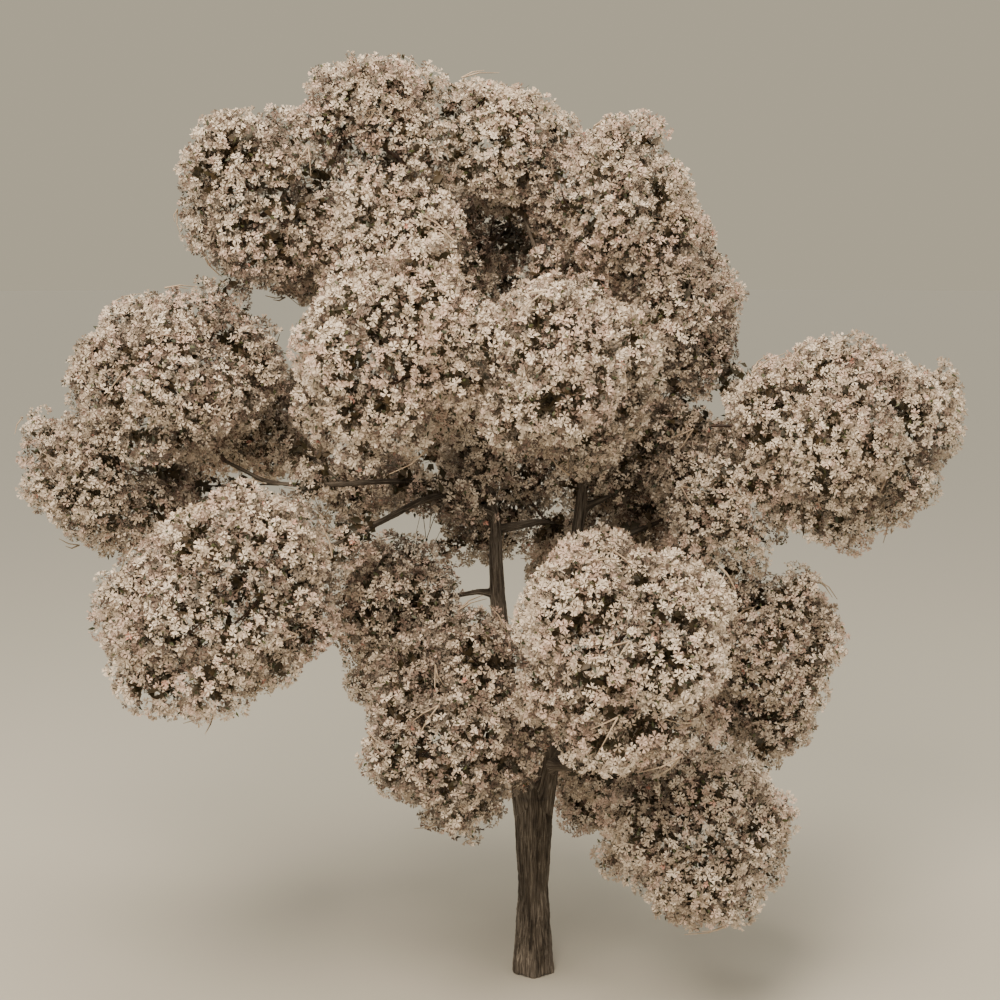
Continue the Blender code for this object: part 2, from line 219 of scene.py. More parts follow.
def add_tube(bm, line):
    """Adds a closed tube along a line of places and radii, made from a curve's round bevel."""
    curve = bpy.data.curves.new("limb", "CURVE")
    curve.dimensions = "3D"
    curve.bevel_depth = 1.0
    curve.bevel_resolution = 4
    curve.use_fill_caps = True
    spline = curve.splines.new("POLY")
    spline.points.add(len(line) - 1)
    for point, (x, y, z, radius) in zip(spline.points, line):
        point.co = (x, y, z, 1)
        point.radius = radius
    holder = bpy.data.objects.new("limb", curve)
    mesh = bpy.data.meshes.new_from_object(holder)
    bpy.data.objects.remove(holder)
    bpy.data.curves.remove(curve)
    bm.from_mesh(mesh)
    bpy.data.meshes.remove(mesh)


def collared(line):
    """A bough's line with its root sunk into its parent and swollen to a collar."""
    along = np.concatenate([[0], np.cumsum(np.linalg.norm(np.diff(line[:, :3], axis=0), axis=1))])
    swollen = line.copy()
    swollen[:, 3] *= 1 + COLLAR_SWELL * np.clip(1 - along / COLLAR_LENGTH, 0, 1) ** 2
    heading = unit(line[2, :3] - line[0, :3])
    sunk = swollen[0].copy()
    sunk[:3] -= heading * ROOT_SINK * 2 * line[0, 3]
    return np.vstack([sunk, swollen])


def mesh_of(bm, name):
    """A new mesh of what a bmesh holds."""
    mesh = bpy.data.meshes.new(name)
    bm.to_mesh(mesh)
    bm.free()
    return mesh


def placed(name, data):
    """A new object in the scene, of a mesh, a light or a camera."""
    holder = bpy.data.objects.new(name, data)
    bpy.context.scene.collection.objects.link(holder)
    return holder


def fused_on_grid(mesh, size):
    """One closed skin round all that a mesh holds, drawn on a grid of voxels."""
    holder = placed("fused", mesh)
    fuse = holder.modifiers.new("fuse", "REMESH")
    fuse.mode = "VOXEL"
    fuse.voxel_size = size
    graph = bpy.context.evaluated_depsgraph_get()
    fused = bpy.data.meshes.new_from_object(holder.evaluated_get(graph))
    bpy.data.objects.remove(holder)
    return fused


def smooth_skin(bm, passes):
    """Moves every point of a skin half way to its neighbours' middle, once for each pass."""
    for _ in range(passes):
        bmesh.ops.smooth_vert(
            bm, verts=bm.verts, factor=0.5, use_axis_x=True, use_axis_y=True, use_axis_z=True
        )


def bark_skin():
    """Sweeps every limb, fuses them on a voxel grid and smooths the joints."""
    bm = bmesh.new()
    bm.from_mesh(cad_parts["trunk"].data)
    bmesh.ops.remove_doubles(bm, verts=bm.verts, dist=MERGE_WITHIN)
    for name in LIMBS:
        if name == "trunk":
            continue
        if name.startswith("stem"):
            root = lines[name][0].copy()
            root[2] -= STEM_SINK
            root[0] *= STEM_SPREAD_AT_ROOT
            line = np.vstack([root, lines[name]])
        else:
            line = collared(lines[name])
        add_tube(bm, line)
    add_tube(bm, smooth_line(np.array(CROTCH), LINE_STEP))
    fused = fused_on_grid(mesh_of(bm, "limbs"), BARK_VOXEL)
    bm = bmesh.new()
    bm.from_mesh(fused)
    low = [edge for edge in bm.edges if max(vert.co.z for vert in edge.verts) < FINE_HEIGHT]
    bmesh.ops.subdivide_edges(bm, edges=low, cuts=1, use_grid_fill=True)
    smooth_skin(bm, BARK_SMOOTHING)
    bm.to_mesh(fused)
    bm.free()
    return fused


def points_and_normals(mesh):
    """A mesh's points and their normals, each as rows of an array."""
    places = np.empty(len(mesh.vertices) * 3)
    mesh.vertices.foreach_get("co", places)
    normals = np.empty(len(mesh.vertices) * 3)
    mesh.vertex_normals.foreach_get("vector", normals)
    return places.reshape(-1, 3), normals.reshape(-1, 3)


def ridge_bark(mesh):
    """Pushes the ridges out along each limb, and keeps the grain's own coordinates."""
    nearest = KDTree(sum(len(line) for line in lines.values()))
    stations = []
    for name in LIMBS:
        line = lines[name]
        headings = unit(np.gradient(line[:, :3], axis=0))
        steps = np.linalg.norm(np.diff(line[:, :3], axis=0), axis=1)
        along = np.concatenate([[0], np.cumsum(steps)])
        for row, heading, distance in zip(line, headings, along):
            nearest.insert(row[:3], len(stations))
            stations.append((*row[:3], *heading, row[3], distance))
    nearest.balance()
    places, normals = points_and_normals(mesh)
    owner = [nearest.find(place)[1] for place in places]
    station = np.array(stations)[owner]
    heading, radius = station[:, 3:6], station[:, 6]
    out = places - station[:, :3]
    ahead = (out * heading).sum(axis=1)
    across = unit(out - ahead[:, None] * heading) * radius[:, None]
    steep = np.abs(heading[:, 2:]) > STEEP_HEADING
    side = unit(np.cross(np.where(steep, [[0.0, 1.0, 0.0]], [[0.0, 0.0, 1.0]]), heading))
    other = np.cross(heading, side)
    grain = np.column_stack(
        [(across * side).sum(axis=1), (across * other).sum(axis=1), station[:, 7] + ahead]
    )
    squeezed = grain / RIDGE_WIDTH / [1, 1, RIDGE_STRETCH]
    noise.seed_set(RIDGE_SEED)
    spots = (RIDGE_SWAY_SCALE * squeezed).tolist()
    swayed = squeezed + RIDGE_SWAY * np.array([noise.noise_vector(spot)[:] for spot in spots])
    ridge = np.array([noise.ridged_multi_fractal(spot, *RIDGE_NOISE) for spot in swayed])
    bulge = np.array([noise.noise(spot) for spot in (places / BULGE_SIZE).tolist()])
    rise = np.clip(RIDGE_SHARE * radius, RIDGE_LEAST, RIDGE_MOST)
    push = rise * (ridge - ridge.mean()) + BULGE_RISE * radius * bulge
    low = np.clip(1 - places[:, 2] / FOOT_RIB_HEIGHT, 0, 1) ** 2 * (radius > TRUNK_LEAST_RADIUS)
    turn = np.arctan2(places[:, 1], places[:, 0])
    ribs = np.cos(FOOT_RIBS * turn + FOOT_RIB_TURN) - FOOT_RIB_LEVEL
    push = push + FOOT_RIB_RISE * low * ribs
    places = places + push[:, None] * normals
    places[:, 2] = np.maximum(0, places[:, 2])
    mesh.vertices.foreach_set("co", places.ravel())
    mesh.update()
    kept = mesh.attributes.new("grain", "FLOAT_VECTOR", "POINT")
    kept.data.foreach_set("vector", grain.astype(np.float32).ravel())


def cherry_bark():
    """Cherry bark: grey-brown and matt, in long swaying fibres with paler worn ridges."""
    finish, tree, shader = new_finish("cherry_bark", Roughness=0.9, Specular_IOR_Level=0.3)
    grain = add_node(tree, "ShaderNodeAttribute", {"attribute_name": "grain"})
    fibres = add_node(
        tree, "ShaderNodeMapping", Vector=(grain, "Vector"), Scale=(1, 1, FIBRE_STRETCH)
    )
    streaks = add_node(
        tree, "ShaderNodeTexNoise", Vector=(fibres, "Vector"), Scale=1000 / FIBRE_WIDTH_MM,
        Detail=7.0, Roughness=0.7, Distortion=1.1,
    )
    tone = add_node(tree, "ShaderNodeValToRGB", Fac=(streaks, "Fac"))
    furrows = [(0.35, "#241e19"), (0.45, "#49423b"), (0.54, "#685f56")]
    set_ramp(tone, [*furrows, (0.61, "#82796e"), (0.69, "#a99e90")])
    tall = add_node(
        tree, "ShaderNodeMapping", Vector=(grain, "Vector"), Scale=(1, 1, PATCH_STRETCH)
    )
    patches = add_node(
        tree, "ShaderNodeTexNoise", Vector=(tall, "Vector"), Scale=1000 / PATCH_SIZE_MM, Detail=3.0
    )
    weather = add_node(tree, "ShaderNodeValToRGB", Fac=(patches, "Fac"))
    set_ramp(weather, [(0.34, "#9a948c"), (0.62, "#ffffff")])
    worn = add_node(
        tree, "ShaderNodeMix", {"data_type": "RGBA", "blend_type": "MULTIPLY"}, Factor=0.8
    )
    tree.links.new(tone.outputs["Color"], worn.inputs["A"])
    tree.links.new(weather.outputs["Color"], worn.inputs["B"])
    tree.links.new(worn.outputs["Result"], shader.inputs["Base Color"])
    relief = add_node(
        tree, "ShaderNodeBump", Strength=0.7, Distance=0.003, Height=(streaks, "Fac")
    )
    tree.links.new(relief.outputs["Normal"], shader.inputs["Normal"])
    return finish


bark_mesh = bark_skin()
ridge_bark(bark_mesh)
bark_mesh.name = "bark"
bark_mesh.materials.clear()
bark_mesh.materials.append(cherry_bark())
bark_mesh.shade_smooth()
bark = placed("bark", bark_mesh)
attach(bark, "root")
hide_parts(*LIMBS)

# ---------------------------------------------------------------------------------------------
# The plan of the crown
# The masses grow together into one canopy, a heap of round lumps, and each lump is a heap of
# sprays. A spray is a twig's end with its flowers. It sits deeper in the creases between lumps.
# Some sprays clothe the limbs, a few are listed one by one, and the gaps are kept clear of them.

SEED = 7
CANOPY_VOXEL = 0.045
CANOPY_CLOSING = 0.045
CANOPY_SMOOTHING = 4
LUMP_SPACING = 0.28
LUMP_TRIES = 20
LUMP_RADIUS = 0.19
LUMP_DEPTH = 0.085
LUMP_STEP = 0.03
LUMP_LEAN = 1.0
SPRAY_SPACING = 0.136
SPRAY_TRIES = 25
SPRAY_RADIUS = 0.098
SPRAY_FLATNESS = 0.72
SPRAY_PROUD = 0.028
SPRAY_STEP = 0.010
SPUR_SPACING = 0.040
SPUR_REACH = (0.04, 0.10)
SPUR_STEEPEST = 0.35
SPUR_LEAN = 0.3
ASKEW = [0.3, 0.2, 1.0]
OUTLYING_PROUD = 0.01
# Sprays listed one by one, at the crown's edge and over its thin places.
OUTLYING = [
    (-0.55, 0.1, 4.85), (-1.10, 0.1, 4.85), (-1.70, 0.1, 4.60), (-1.80, 0.1, 4.20),
    (-1.35, 0.1, 4.65), (-2.40, -0.1, 3.25), (-2.70, 0.1, 3.05), (-2.30, 0.1, 2.40),
    (-1.40, -0.8, 1.85), (-1.00, -0.5, 2.00), (-0.50, -0.7, 1.10), (0.40, -0.6, 0.85),
    (1.20, -0.7, 0.80), (1.25, 0.0, 1.20), (1.45, 0.0, 2.20), (1.70, -0.1, 2.45),
    (2.15, -0.1, 3.30), (1.00, 0.0, 3.75), (0.60, 0.0, 4.60), (0.85, 0.2, 3.25),
    (-0.55, 0.5, 4.60), (-0.75, 1.6, 2.70), (-1.10, 0.6, 2.40), (-0.50, 0.4, 2.30),
    (-1.10, 0.3, 4.55), (-1.00, 0.2, 4.50), (-1.20, 0.1, 4.30), (-1.30, 0.1, 4.25),
    (0.80, -1.5, 1.80), (0.90, -0.7, 1.50), (-0.65, 1.6, 2.65), (-0.15, 1.1, 3.75),
]
SIGHT_FROM = (-0.2, -10.4, 4.1)
GAP_FRONT = -1.3
# Each gap: its place across and in height, its radius, and how far back it runs.
GAPS = [
    (-1.45, 3.70, 0.13, 1.5), (-1.33, 3.57, 0.13, 1.5), (0.98, 3.13, 0.12, 1.5),
    (1.35, 2.37, 0.13, 1.5), (-0.30, 2.23, 0.13, 1.5), (-0.30, 2.10, 0.11, 1.5),
    (-0.65, 2.53, 0.12, 1.5), (-0.12, 2.17, 0.09, 1.5), (-0.10, 4.05, 0.13, 0.7),
    (0.25, 2.60, 0.11, 0.1), (0.25, 2.50, 0.11, 0.1),
]
# How open each spray is to the sky sets its painted shade: the share of its flowers dealt dark
# tones.
SHADE_RAYS = 20
SHADE_REACH = 2.5
SHADE_CLEARANCE = 0.05
SHADE_FOCUS = 1.1
SHADE_LIMIT = 0.45
SHADE_LEAST = 0.25
# Painted light and shade per mass: below one more of its flowers take the dark tones, above one
# fewer.
PAINTED_LIGHT_BY_MASS = {
    "mass_low_left": 0.50, "mass_inner_left": 0.70, "mass_top_middle_left": 0.75,
    "mass_front_right": 0.75, "mass_left_upper": 0.80, "mass_top_left": 0.80,
    "mass_right_upper": 0.80, "mass_left_low": 0.85, "mass_far_left": 0.85,
    "mass_right_middle": 1.8, "mass_right_low": 1.6, "mass_low_right": 1.5,
    "mass_top_middle_right": 1.5, "mass_top_right": 1.3, "mass_low_front": 1.5,
}
BARE_WAY = 0.115
# The stretches of a limb, as shares of its length, that stand bare.
BARE = {
    "stem_left": [(0.0, 0.52)],
    "stem_right": [(0.0, 0.60)],
    "bough_left": [(0.40, 0.61), (0.72, 0.95)],
    "bough_left_low": [(0.34, 0.72)],
    "bough_right": [(0.0, 0.21)],
    "bough_inner_right": [(0.0, 0.21)],
    "bough_inner_left": [(0.0, 1.0)],
}
UNCLOTHED_ELSEWHERE = [(0.0, 0.3)]
NEIGHBOURS = [(i, j, k) for i in (-1, 0, 1) for j in (-1, 0, 1) for k in (-1, 0, 1)]
MASSES = sorted(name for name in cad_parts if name.startswith("mass_"))

dice = np.random.default_rng(SEED)
solids = {name: solid_triangles(name) for name in MASSES}
every_corner = np.vstack(list(solids.values())).reshape(-1, 3)
crown_faces = BVHTree.FromPolygons(
    every_corner.tolist(), np.arange(len(every_corner)).reshape(-1, 3).tolist()
)


def swelled(mesh, distance):
    """Moves every point of a skin out along its normal."""
    places, normals = points_and_normals(mesh)
    mesh.vertices.foreach_set("co", (places + distance * normals).ravel())
    mesh.update()
    return mesh


def canopy_skin():
    """The masses' outer skin, as triangles. Swelling and shrinking it fills the narrow clefts."""
    bm = bmesh.new()
    for name in MASSES:
        bm.from_mesh(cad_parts[name].data)
    bmesh.ops.remove_doubles(bm, verts=bm.verts, dist=MERGE_WITHIN)
    wide = fused_on_grid(swelled(mesh_of(bm, "masses"), CANOPY_CLOSING), CANOPY_VOXEL)
    skin = swelled(wide, -CANOPY_CLOSING)
    bm = bmesh.new()
    bm.from_mesh(skin)
    smooth_skin(bm, CANOPY_SMOOTHING)
    bmesh.ops.triangulate(bm, faces=bm.faces)
    bm.normal_update()
    triangles = np.array([[vert.co[:] for vert in face.verts] for face in bm.faces])
    normals = np.array([[vert.normal[:] for vert in face.verts] for face in bm.faces])
    bm.free()
    return triangles, normals.mean(axis=1)


def scatter(spacing, tries):
    """Places spread evenly over the canopy, none nearer to another than the spacing."""
    sides = np.cross(canopy[:, 1] - canopy[:, 0], canopy[:, 2] - canopy[:, 0])
    areas = np.linalg.norm(sides, axis=1)
    count = int(tries * areas.sum() / 2 / spacing**2)
    picks = dice.choice(len(canopy), count, p=areas / areas.sum())
    shares = dice.random((count, 2))
    folded = shares.sum(axis=1) > 1
    shares[folded] = 1 - shares[folded]
    corner = canopy[picks, 0]
    places = corner + shares[:, :1] * (canopy[picks, 1] - corner)
    places = places + shares[:, 1:] * (canopy[picks, 2] - corner)
    taken = {}
    kept = []
    for index, (place, cell) in enumerate(zip(places, np.floor(places / spacing).astype(int))):
        x, y, z = cell.tolist()
        near = [taken.get((x + i, y + j, z + k), ()) for i, j, k in NEIGHBOURS]
        if all(np.sum((places[other] - place) ** 2) > spacing**2 for row in near for other in row):
            taken.setdefault((x, y, z), []).append(index)
            kept.append(index)
    return places[kept], unit(canopy_normals[picks[kept]])


def in_gap(hub):
    """Whether a place lies in one of the gaps, which run from the front back into the crown."""
    for x, z, radius, back in GAPS:
        sight = np.subtract((x, 0, z), SIGHT_FROM)
        ends = [np.array((x, 0, z)) + depth / sight[1] * sight for depth in (GAP_FRONT, back)]
        way = ends[1] - ends[0]
        share = np.clip((hub - ends[0]) @ way / (way @ way), 0, 1)
        if np.linalg.norm(hub - ends[0] - share * way) < radius:
            return True
    return False


def off_bare_wood(hub):
    """How far a place is from the nearest bare stretch of a limb."""
    return np.linalg.norm(bare_wood - hub, axis=1).min()


def nearest_mass(place):
    """The name of the mass that has a corner nearest to a place."""
    gaps = {name: np.linalg.norm(solids[name] - place, axis=2).min() for name in MASSES}
    return min(gaps, key=gaps.get)


def add_spray(mass, hub, facing):
    """Adds one more spray to a mass."""
    hubs, facings = plans[mass]
    hubs.append(hub)
    facings.append(unit(facing))


def plan_sprays():
    """Hangs sprays all over the canopy, each on its nearest mass: their hubs and facings."""
    lumps, _ = scatter(LUMP_SPACING, LUMP_TRIES)
    steps = dice.uniform(-LUMP_STEP, LUMP_STEP, len(lumps))
    places, normals = scatter(SPRAY_SPACING, SPRAY_TRIES)
    for place, normal in zip(places, normals):
        away = place - lumps
        distance = np.linalg.norm(away, axis=1)
        lump = distance.argmin()
        share = min(1.0, distance[lump] / LUMP_RADIUS)
        fall = LUMP_DEPTH * (share * share)
        sink = SPRAY_FLATNESS * SPRAY_RADIUS - SPRAY_PROUD + fall - steps[lump]
        hub = place - (sink + dice.normal(0, SPRAY_STEP)) * normal
        if off_bare_wood(hub) < BARE_WAY or in_gap(hub):
            continue
        facing = normal + LUMP_LEAN * share * away[lump] / LUMP_RADIUS
        add_spray(nearest_mass(place), hub, facing)


def clothe(limb):
    """Sprays on short spurs round a limb, except along its bare stretches."""
    line = lines[limb]
    stretches = BARE.get(limb, UNCLOTHED_ELSEWHERE)
    count = int(len(line) * LINE_STEP / SPUR_SPACING)
    turn = dice.uniform(0, math.tau)
    for step in range(count):
        share = (step + 0.5) / count
        turn += math.pi * (3 - math.sqrt(5))
        if any(low <= share <= high for low, high in stretches):
            continue
        row = int(share * (len(line) - 2))
        heading = unit(line[row + 1, :3] - line[row, :3])
        side = unit(np.cross(heading, ASKEW))
        out = math.cos(turn) * side + math.sin(turn) * np.cross(heading, side)
        if out[2] > SPUR_STEEPEST:
            continue
        hub = line[row, :3] + dice.uniform(*SPUR_REACH) * out
        if off_bare_wood(hub) > BARE_WAY / 2 and not in_gap(hub):
            add_spray(nearest_mass(hub), hub, out + SPUR_LEAN * heading)


def openness(hubs, facings):
    """How much of the sky in front of each spray is clear of other masses, from 0 to 1."""
    spread = dice.normal(0, 1, (SHADE_RAYS, 3))
    clear = []
    for hub, facing in zip(hubs, facings):
        ways = unit(unit(spread) + SHADE_FOCUS * facing)
        start = Vector(hub + (SPRAY_RADIUS + SHADE_CLEARANCE) * facing)
        hits = [crown_faces.ray_cast(start, Vector(way), SHADE_REACH)[0] for way in ways]
        clear.append(hits.count(None) / SHADE_RAYS)
    return np.array(clear)


bare_wood = []
for limb, stretches in BARE.items():
    rows = len(lines[limb]) - 1
    bare_wood += [lines[limb][int(low * rows):int(high * rows) + 1, :3] for low, high in stretches]
bare_wood = np.vstack(bare_wood)
canopy, canopy_normals = canopy_skin()
plans = {name: ([], []) for name in MASSES}
plan_sprays()
for name in LIMBS:
    if name != "trunk":
        clothe(name)
for place in OUTLYING:
    foot, normal, _, _ = crown_faces.find_nearest(Vector(place))
    beyond = max(0.0, (Vector(place) - foot).dot(normal) - OUTLYING_PROUD)
    hub = np.array(Vector(place) - beyond * normal)
    mass = nearest_mass(hub)
    add_spray(mass, hub, hub - solids[mass].mean(axis=(0, 1)))
plans = {name: (np.array(hubs), np.array(facings)) for name, (hubs, facings) in plans.items()}
# Painted shade: on sprays that other masses screen from the sky, fewer flowers keep their own
# tones.
lit = {name: np.clip(openness(*plans[name]) / SHADE_LIMIT, SHADE_LEAST, 1) for name in MASSES}
painted_light_share = {name: np.minimum(1, PAINTED_LIGHT_BY_MASS.get(name, 1) * lit[name]) for name in MASSES}

# ---------------------------------------------------------------------------------------------
# Branches and twigs
# Every limb's tip grows on into its mass by one rule: head for the middle of the sprays that
# hang on it, then fork so that each arm feeds its share, thinner by the number that it feeds.

SPRAY_TWIG = 0.0016
PIPE_POWER = 2.3
REACH_SHARE = 0.42
KEEP_HEADING = 0.55
WANDER = 0.16
TWIG_SIDES = (5, 4, 3)
THICK_BRANCH = 0.008
THIN_BRANCH = 0.004
LEAST_PARENT = 0.008
TIP_INSIDE_SHARE = 0.2
TIP_REACH = 0.25
LAST_BEND = 0.2
SHORT_OF_SPRAY = 0.8
LEAST_STRETCH = 0.01
STRETCH_TAPER = 0.93
FORK_SHARES = (0.34, 0.66)
LEAST_LENGTH = 1e-4
START_SINK = 0.02
BLOOM_SIZE_MM = 40

shoots = random.Random(SEED)


def mass_root(name):
    """Where a mass's branches start: at the tip that enters it, or else beside the nearest limb."""
    corners = solids[name].reshape(-1, 3)
    middle = corners.mean(axis=0)
    nearest = []
    for limb in LIMBS:
        line = lines[limb]
        gap = np.linalg.norm(corners - line[-1, :3], axis=1).min()
        inside = np.linalg.norm(line[-1, :3] - middle)
        nearest.append((gap + TIP_INSIDE_SHARE * inside, limb))
    gap, limb = min(nearest)
    line = lines[limb]
    own = limb.removeprefix("bough_") == name.removeprefix("mass_")
    if own or gap < TIP_REACH:
        heading = unit(line[-1, :3] - line[-4, :3])
        return Vector(line[-1, :3]), Vector(heading), float(line[-1, 3])
    rows = np.vstack([lines[limb] for limb in LIMBS])
    start = Vector(rows[np.linalg.norm(rows[:, :3] - middle, axis=1).argmin(), :3])
    return start, (Vector(middle) - start).normalized(), LEAST_PARENT


def wander(amount):
    """A small random push."""
    return Vector([shoots.uniform(-amount, amount) for _ in range(3)])


def grow(start, heading, hubs, thick, segments):
    """Grows one branch to its sprays and adds each of its stretches to the segments."""
    if len(hubs) == 1:
        hub = Vector(hubs[0])
        bend = start.lerp(hub, 0.5) + heading * LAST_BEND * (hub - start).length
        segments.append((start, bend, thick, (thick + SPRAY_TWIG) / 2))
        segments.append((bend, hub, (thick + SPRAY_TWIG) / 2, SPRAY_TWIG))
        return
    towards = Vector(hubs.mean(axis=0)) - start
    nearest = float(np.linalg.norm(hubs - np.array(start), axis=1).min())
    way = (KEEP_HEADING * heading + towards.normalized() + wander(WANDER)).normalized()
    stretch = min(REACH_SHARE * towards.length, SHORT_OF_SPRAY * nearest) + LEAST_STRETCH
    end = start + stretch * way
    thin = thick * STRETCH_TAPER
    segments.append((start, end, thick, thin))
    spread = unit(hubs - np.array(end))
    side = np.linalg.svd(spread - spread.mean(axis=0), full_matrices=False)[2][0]
    order = np.argsort(spread @ side)
    cut = max(1, min(len(hubs) - 1, round(len(hubs) * shoots.uniform(*FORK_SHARES))))
    for share in (order[:cut], order[cut:]):
        part = len(share) / len(hubs)
        arm = max(SPRAY_TWIG, thin * part ** (1 / PIPE_POWER))
        grow(end, way, hubs[share], arm, segments)


def ring(bm, centre, turn, radius, sides):
    """The corners of one end of a twig's stretch."""
    corners = []
    for step in range(sides):
        angle = math.tau * step / sides
        spot = Vector((radius * math.cos(angle), radius * math.sin(angle), 0))
        corners.append(bm.verts.new(centre + turn @ spot))
    return corners


def add_segments(bm, segments):
    """Adds each stretch as a tapering prism, with more sides where it is thicker."""
    for start, end, thick, thin in segments:
        sides = TWIG_SIDES[(thick < THICK_BRANCH) + (thick < THIN_BRANCH)]
        axis = end - start
        if axis.length < LEAST_LENGTH:
            continue
        turn = Vector((0, 0, 1)).rotation_difference(axis).to_matrix()
        foot = ring(bm, start, turn, thick, sides)
        head = ring(bm, end, turn, thin, sides)
        for step in range(sides):
            after = (step + 1) % sides
            bm.faces.new((foot[step], foot[after], head[after], head[step]))


def twig_skin(name, dark, middle, pale):
    """Young cherry wood: smooth, with a slight gloss and a grey bloom in patches."""
    finish, tree, shader = new_finish(name, Roughness=0.6)
    at = add_node(tree, "ShaderNodeTexCoord")
    bloom = add_node(
        tree, "ShaderNodeTexNoise", Vector=(at, "Object"), Scale=1000 / BLOOM_SIZE_MM, Detail=3.0
    )
    tone = add_node(tree, "ShaderNodeValToRGB", Fac=(bloom, "Fac"))
    set_ramp(tone, [(0.35, dark), (0.55, middle), (0.72, pale)])
    tree.links.new(tone.outputs["Color"], shader.inputs["Base Color"])
    return finish


def twig_piece(name, segments, finish):
    """One mesh of all the stretches of a kind of twig."""
    bm = bmesh.new()
    add_segments(bm, segments)
    mesh = mesh_of(bm, name)
    mesh.shade_smooth()
    mesh.materials.append(finish)
    piece = placed(name, mesh)
    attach(piece, "root")


segments = []
for name in MASSES:
    start, heading, thick = mass_root(name)
    grow(start - START_SINK * heading, heading, plans[name][0], thick, segments)
twig_piece("branches", segments, twig_skin("young_cherry_wood", "#2c1d14", "#4a3426", "#75604b"))

# ---------------------------------------------------------------------------------------------
# Bare shoots
# Last year's long shoots, straight, pale and bare. They lie along the crown in pairs that open
# like a V, and stand a little proud of the flowers.

SHOOT_SHARE = 0.08
SHOOT_LENGTH = (0.12, 0.23)
SHOOT_THICK = 0.0046
SHOOT_DIP = 0.06
SHOOT_DROOP = 0.30
SHOOT_OPENING = 0.32
SHOOT_START = 1.06
SHOOT_TURN_PLAY = 0.8
SHOOT_WAY_PLAY = 0.06
SHOOT_TAPER = (0.8, 0.4)

segments = []
for name in MASSES:
    hubs, facings = plans[name]
    for hub, facing in zip(hubs, facings):
        if shoots.random() > SHOOT_SHARE:
            continue
        out = Vector(facing)
        start = Vector(hub) + SHOOT_START * SPRAY_RADIUS * out
        along = (out.orthogonal() + wander(SHOOT_TURN_PLAY)).normalized()
        along = (along - (along.dot(out) + SHOOT_DIP) * out).normalized()
        side = along.cross(out).normalized()
        for opening in (-SHOOT_OPENING, SHOOT_OPENING):
            way = (along + opening * side + wander(SHOOT_WAY_PLAY)).normalized()
            reach = shoots.uniform(*SHOOT_LENGTH)
            bend = start + 0.5 * reach * way
            tip = bend + 0.5 * reach * (way - SHOOT_DROOP * out)
            middle, last = (share * SHOOT_THICK for share in SHOOT_TAPER)
            segments.append((start, bend, SHOOT_THICK, middle))
            segments.append((bend, tip, middle, last))
twig_piece("bare_shoots", segments, twig_skin("pale_shoot_bark", "#a08b76", "#b7a48d", "#cab79f"))

# ---------------------------------------------------------------------------------------------
# Blossom
# Open five-petalled cherry flowers, off-white with a warm pink breath. They stand in tufts on the
# dome of each spray and look outwards, over smaller flowers and calyces in dark painted shade.

PETALS = 5
PETAL_LENGTH = 0.0225
PETAL_WIDTH = 0.0148
PETAL_LENGTH_PLAY = (0.85, 1.12)
PETAL_WIDTH_PLAY = (0.95, 1.25)
PETAL_TURN_PLAY = 0.2
PETAL_LIFT_DEGREES = (-10, 65)
PETAL_ROOT = 0.05
PETAL_FOLD = 0.14
PETAL_NOTCH = 0.80
PETAL_VEIN_MM = 5
FLOWER_PATTERNS = 8
SIZE_PLAY = (0.8, 1.2)
LOOK_PLAY = 0.45
TURN_PLAY = 0.25
ANY_TURN = 6.3
NEARLY_UPRIGHT = 0.9
DOME_ANGLE = math.radians(85)
TUFTS_PER_SPRAY = 8
TUFT_HEIGHTS = (0.80, 1.15)
TUFT_RADIUS = 0.026
OPEN_PER_TUFT = 2
SMALL_PER_TUFT = 3
FLOWER_HEIGHTS = (0.6, 1.2)
FLOWER_LEAN = 0.6
SHADED_PER_SPRAY = 10
SHADED_HEIGHTS = (0.45, 0.85)
STRAY_TONES = 0.35
TONE_SHARES = [0.40, 0.32, 0.16, 0.12]
OPEN_TONES = (0, 1, 2, 3)
# Tan petals and brown calyces, dealt out as painted shade.
PAINTED_SHADE_TONES = (3, 4, 5)
PIECE_LIMIT = 195000


def heading_at(turn, lift):
    """The way out from a flower's middle at a turn about +Z and a lift above the level."""
    return Vector(
        (math.cos(turn) * math.cos(lift), math.sin(turn) * math.cos(lift), math.sin(lift))
    )


def petal(bm, length, width, turn, lift, fold, widest, middle):
    """A petal or leaf from a point, folded along its middle and widest at a share of its length.

    Its middle ends at another share: past the widest in a tip, short of it in a notch.
    """
    ahead = heading_at(turn, lift)
    across = Vector((-math.sin(turn), math.cos(turn), 0))
    up = ahead.cross(across)
    root = bm.verts.new(PETAL_ROOT * length * ahead)
    tip = bm.verts.new(middle * length * ahead)
    wide = widest * length * ahead + fold * width * up
    left = bm.verts.new(wide + width / 2 * across)
    right = bm.verts.new(wide - width / 2 * across)
    bm.faces.new((root, right, tip))
    bm.faces.new((root, tip, left))


def pattern_arrays(bm):
    """A small mesh as arrays of its corners and triangles."""
    bm.verts.index_update()
    corners = np.array([vert.co[:] for vert in bm.verts])
    triangles = np.array([[vert.index for vert in face.verts] for face in bm.faces])
    bm.free()
    return corners, triangles


def flower_pattern():
    """A flower that looks along +Z, each petal lifted and turned a little differently."""
    bm = bmesh.new()
    for index in range(PETALS):
        length = PETAL_LENGTH * shoots.uniform(*PETAL_LENGTH_PLAY)
        width = PETAL_WIDTH * shoots.uniform(*PETAL_WIDTH_PLAY)
        turn = math.tau * index / PETALS + shoots.uniform(-PETAL_TURN_PLAY, PETAL_TURN_PLAY)
        lift = math.radians(shoots.uniform(*PETAL_LIFT_DEGREES))
        petal(bm, length, width, turn, lift, PETAL_FOLD, 1.0, PETAL_NOTCH)
    return pattern_arrays(bm)


